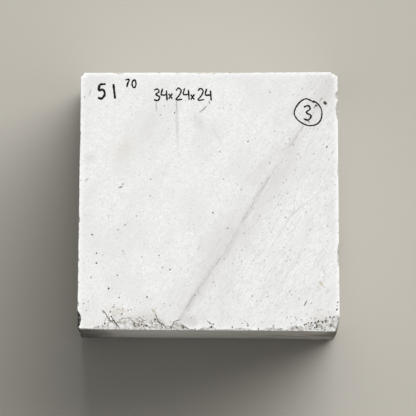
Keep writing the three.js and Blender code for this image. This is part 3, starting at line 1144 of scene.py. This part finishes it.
def weather_and_shade(tree, place, colour, clean):
    """Lays yard grime over the sides, splashed up from the ground, and darkens them beside the upright
    edges, most beside the front's two, partly as grime and partly as painted shade. It starts this many
    millimetres below the upper end."""
    height = add(tree, "ShaderNodeSeparateXYZ", {0: place}).outputs["Z"]
    side = add(tree, "ShaderNodeMapRange", {"Value": height, "From Min": TOP - 2 * clean * MM,
               "From Max": TOP - clean * MM, "To Min": 1, "To Max": 0}).outputs[0]
    noises = grime_noises(tree, place)
    values = {name: noise.outputs[0] for name, noise in noises.items()}
    # The splashes thin out with height.
    level = add(tree, "ShaderNodeMath", {0: height, 1: SPLASHED * MM}, operation="DIVIDE").outputs[0]
    values["splash"] = add(tree, "ShaderNodeMath", {0: values["splash"], 1: level},
                           operation="SUBTRACT").outputs[0]
    for name, paint, low, high, most in GRIME_COATS:
        amount = add(tree, "ShaderNodeMapRange", {"Value": values[name], "From Min": low,
                     "From Max": high, "To Max": most}, interpolation_type="SMOOTHSTEP").outputs[0]
        colour = laid_over(tree, colour, paint, amount, side)
    return edge_grime_and_shade(tree, place, colour, side, noises["rust"])


def sawn_marble():
    """White marble as a diamond saw leaves it: matte, with faint parallel lines. The lines run level
    round the sides."""
    made, tree, shader, place = material("sawn_marble")
    colour = marble_colour(tree, place)
    colour = stains_over(tree, place, colour, SMUDGES, *SMUDGE)
    colour = stains_over(tree, place, colour, STAINS, *STAIN)
    # Painted highlight along every edge, partly the bruise of the saw and knocks: white near the edges.
    colour = laid_over(tree, colour, "#fdfdfc", bruise_and_highlight(tree, place))
    colour = weather_and_shade(tree, place, colour, CLEAN_SAWN)
    height = 0.0
    for sizes, strength in SAW_MARKS:
        stretched = add(tree, "ShaderNodeMapping", {"Vector": place,
                        "Scale": [size * MM for size in sizes]}, vector_type="TEXTURE")
        mark = add(tree, "ShaderNodeTexNoise", {"Vector": stretched.outputs[0], "Scale": 1,
                   "Detail": 2}).outputs[0]
        height = add(tree, "ShaderNodeMath", {0: mark, 1: strength, 2: height},
                     operation="MULTIPLY_ADD").outputs[0]
    dress(shader, colour, 0.55, height, 0.35, 0.16)
    return made


def broken_marble():
    """Marble where it broke: sugary white crystal, rough, with warm grey dust and painted shade in its
    hollows.
    """
    made, tree, shader, place = material("broken_marble")
    colour = marble_colour(tree, place)
    # As (size of lump in millimetres, detail, noise at which it starts, noise at which it is full,
    # most of it, colour): fresh crystal, dust, and the pits between the crystals. The dust and the pits
    # are partly painted shade, the fine shade of the rough break.
    for size, detail, low, high, most, paint in (
        (5, 4, 0.50, 0.62, 0.7, "#fbfbf9"), (3.6, 6, 0.46, 0.60, 0.74, "#a89e8e"),
        (1.7, 3, 0.58, 0.68, 0.75, "#716a61"),
    ):
        noise = add(tree, "ShaderNodeTexNoise", {"Vector": place, "Scale": 1 / (size * MM),
                    "Detail": detail, "Roughness": 0.65}).outputs[0]
        amount = add(tree, "ShaderNodeMapRange", {"Value": noise, "From Min": low,
                     "From Max": high, "To Max": most}, interpolation_type="SMOOTHSTEP").outputs[0]
        colour = laid_over(tree, colour, paint, amount)
    colour = weather_and_shade(tree, place, colour, CLEAN_BROKEN)
    # The pits, which come last, are its relief too.
    dress(shader, colour, 0.75, noise, 0.7, 0.7)
    return made


def grained(tree, place, size, detail, colour, paint, low=0.0, high=1.0):
    """A colour with another showing in grains of this size, in millimetres, and the grains."""
    grain = add(tree, "ShaderNodeTexNoise", {"Vector": place, "Scale": 1 / (size * MM),
                "Detail": detail}).outputs[0]
    amount = add(tree, "ShaderNodeMapRange", {"Value": grain, "From Min": low, "From Max": high})
    return laid_over(tree, srgb(colour), paint, amount.outputs[0]), grain


def worn_marble_and_highlight():
    """Marble where an edge has been knocked and rubbed: bruised white crystal, whiter than the stone,
    which is partly painted highlight along the arris.
    """
    made, tree, shader, place = material("worn_marble_and_highlight")
    colour, _ = grained(tree, place, 2.5, 3, "#fbfbfa", "#eeeeec")
    dress(shader, colour, 0.7)
    return made


def painted_shade_break():
    """A break painted near black as shade: rough crystal with white grains showing through."""
    made, tree, shader, place = material("painted_shade_break")
    colour, grain = grained(tree, place, 1.8, 3, "#2c2925", "#d6d3cc", 0.50, 0.64)
    dress(shader, colour, 0.85, grain, 0.8, 0.8)
    return made


def marker_ink():
    """Black marker pen, dried matte and skipping a little on the stone's grain."""
    made, tree, shader, place = material("marker_ink")
    colour, _ = grained(tree, place, 2.5, 3, "#060507", "#4a484c", 0.56, 0.8)
    dress(shader, colour, 0.7)
    shader.inputs["Specular IOR Level"].default_value = 0.2
    return made


def packed_dirt_and_shade():
    """Stone dust and yard dirt packed into pits and cracks, partly painted shade in these hollows: dark,
    dull and warm grey.
    """
    made, tree, shader, place = material("packed_dirt_and_shade")
    colour, _ = grained(tree, place, 1.2, 2, "#3d3933", "#8b867c")
    dress(shader, colour, 0.9)
    return made


# ---------------------------------------------------------------------------------------------
# The scene.


# The floor's radius, in metres: so wide that its rim is never in view.
FLOOR = 120
# Two broad lights, as (name, strength, how many degrees of the sky it fills, how far it stands to
# the right of overhead and to the back in degrees), and the light from all round.
LAMPS = (("key", 3.35, 60, 30, 41), ("top", 0.45, 80, -6, 4))
SKY = 0.13
# The camera: its place from side to side, what it looks at and where it stands from front to back,
# how high it stands over the upper end, its focal length and the width of its film, all in
# millimetres, and how near and how far it sees, in metres.
CAMERA_X = -0.4
AIM_Y = -5.7
CAMERA_Y = -372.7
CAMERA_UP = 11000
LENS = 1045
FILM = 36
SEES = (0.5, 400)


def floor():
    """A wide pale floor in matte paint."""
    bpy.ops.mesh.primitive_circle_add(
        vertices=96, radius=FLOOR, fill_type="NGON", location=(0, 0, LOW.z)
    )
    ground = bpy.context.object
    ground.name = "floor"
    in_place(ground)
    made, _, shader, _ = material("floor_paint")
    shader.inputs["Base Color"].default_value = srgb("#b8b4ab")
    shader.inputs["Roughness"].default_value = 0.9
    ground.data.materials.append(made)


def lights():
    """Soft studio light, most of it from the back right."""
    for name, strength, spread, right, back in LAMPS:
        lamp = bpy.data.lights.new(name, "SUN")
        lamp.energy = strength
        lamp.angle = math.radians(spread)
        sun = bpy.data.objects.new(name, lamp)
        towards = Vector((math.tan(math.radians(right)), math.tan(math.radians(back)), 1))
        sun.rotation_euler = towards.to_track_quat("Z", "Y").to_euler()
        bpy.context.scene.collection.objects.link(sun)
    world = bpy.data.worlds.new("studio")
    bpy.context.scene.world = world
    world.use_nodes = True
    sky = world.node_tree.nodes["Background"]
    sky.inputs["Color"].default_value = (1, 1, 1, 1)
    sky.inputs["Strength"].default_value = SKY


def camera():
    """A long lens, high over the upper end and a little to the front."""
    aim = Vector((CAMERA_X * MM, AIM_Y * MM, TOP))
    eye = Vector((CAMERA_X * MM, CAMERA_Y * MM, TOP + CAMERA_UP * MM))
    lens = bpy.data.cameras.new("camera")
    lens.sensor_width = FILM
    lens.lens = LENS
    lens.clip_start, lens.clip_end = SEES
    view = bpy.data.objects.new("camera", lens)
    view.location = eye
    view.rotation_euler = (eye - aim).to_track_quat("Z", "Y").to_euler()
    bpy.context.scene.collection.objects.link(view)
    bpy.context.scene.camera = view


def break_off(stone, cutters, passes, finish):
    """Roughens the cutters, all as one so that they match where they meet, and carves with them."""
    rough = joined(cutters)
    roughen(rough, passes)
    carve(stone, apart(rough), finish)


def dark_flake():
    """The flake off the upper end's left edge that is listed by itself."""
    middle, along, out = end_edge("left", TOP)
    at, long, over, down = DARK_FLAKE
    point = middle + along * at * MM
    flake = edge_flake(point, along, (out, UP), long, (over, down), LONG_FLAKE_DETAIL)
    in_place(flake)
    roughen(flake, DARK_FLAKE_ROUGH)
    return flake


def shade(stone):
    """Shades the breaks smooth and the sawn faces, whose material is the first, flat."""
    only(stone)
    bpy.ops.object.shade_smooth_by_angle(angle=math.radians(35))
    bpy.ops.object.mode_set(mode="EDIT")
    bpy.ops.mesh.select_all(action="DESELECT")
    stone.active_material_index = 0
    bpy.ops.object.material_slot_select()
    bpy.ops.mesh.faces_shade_flat()
    bpy.ops.object.mode_set(mode="OBJECT")


def block():
    """The block, from the saw's cut to the last chip, crack and pit."""
    chance = random.Random(9)
    sawn, broken, worn, dirt_and_shade = sawn_marble(), broken_marble(), worn_marble_and_highlight(), packed_dirt_and_shade()
    stone = sawn_block(sawn)
    # The worn flats get a white finish that is partly painted highlight along the arris.
    break_off(stone, worn_edges(), WEAR_ROUGH, worn)
    break_off(stone, knocked_edges(), KNOCKED_ROUGH, broken)
    break_off(stone, lost_flakes(), FLAKE_ROUGH, broken)
    carve(stone, [spalled_edge()], broken)
    break_off(stone, small_chips(chance), CHIP_ROUGH, broken)
    # The dark flake's scar is painted near black, as shade.
    carve(stone, [dark_flake()], painted_shade_break())
    # Pits and cracks get dark dirt that is partly painted shade in them.
    carve(stone, cracks(stone, chance) + pits(stone, chance) + side_pits(chance), dirt_and_shade)
    shade(stone)
    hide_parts("marble_block")
    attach(stone, "root")


bpy.context.scene.view_settings.view_transform = "Standard"
camera()
lights()
floor()
block()
pen_marks(random.Random(4))
